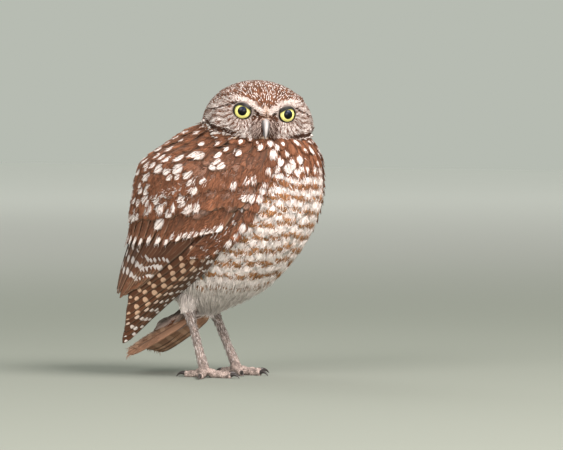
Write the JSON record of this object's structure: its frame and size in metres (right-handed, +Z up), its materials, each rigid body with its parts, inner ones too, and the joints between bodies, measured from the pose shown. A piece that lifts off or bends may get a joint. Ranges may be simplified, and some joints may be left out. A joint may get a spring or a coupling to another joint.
{
  "type": "burrowing owl",
  "caption": "Life-size still model of a small long-legged owl standing on both feet, wings folded, head turned to its right.",
  "frame": {"origin": "on the floor under the middle of the bird's bounding box", "axes": "+Z up, -Y the way the body faces, +X the bird's left side"},
  "size_m": [0.1118, 0.1594, 0.213],
  "materials": {
    "breast": "soft white and buff body feathers with brown bars and spots",
    "head": "short brown feathers with fine whitish streaks, paler face",
    "wing": "brown flight and covert feathers with buff-white spots and bars",
    "tail": "brown tail feathers with pale bars",
    "leg": "grey-brown skin with small scales and sparse bristle feathers",
    "claw": "blackish horn, slightly glossy",
    "bill": "pale grey horn, slightly glossy",
    "eye": "wet lemon-yellow iris with a black pupil under a clear front"
  },
  "bodies": {
    "root": {"torso": "breast", "neck": "breast", "head": "head", "eye_right": "eye", "eye_left": "eye", "bill_upper": "bill", "bill_lower": "bill", "wing_right": "wing", "wing_left": "wing", "tail": "tail", "thigh_right": "breast", "thigh_left": "breast", "shank_right": "leg", "shank_left": "leg", "foot_right": "leg", "foot_left": "leg", "claw_right_middle": "claw", "claw_right_inner": "claw", "claw_right_outer": "claw", "claw_right_hind": "claw", "claw_left_middle": "claw", "claw_left_inner": "claw", "claw_left_outer": "claw", "claw_left_hind": "claw"}
  },
  "joints": []
}
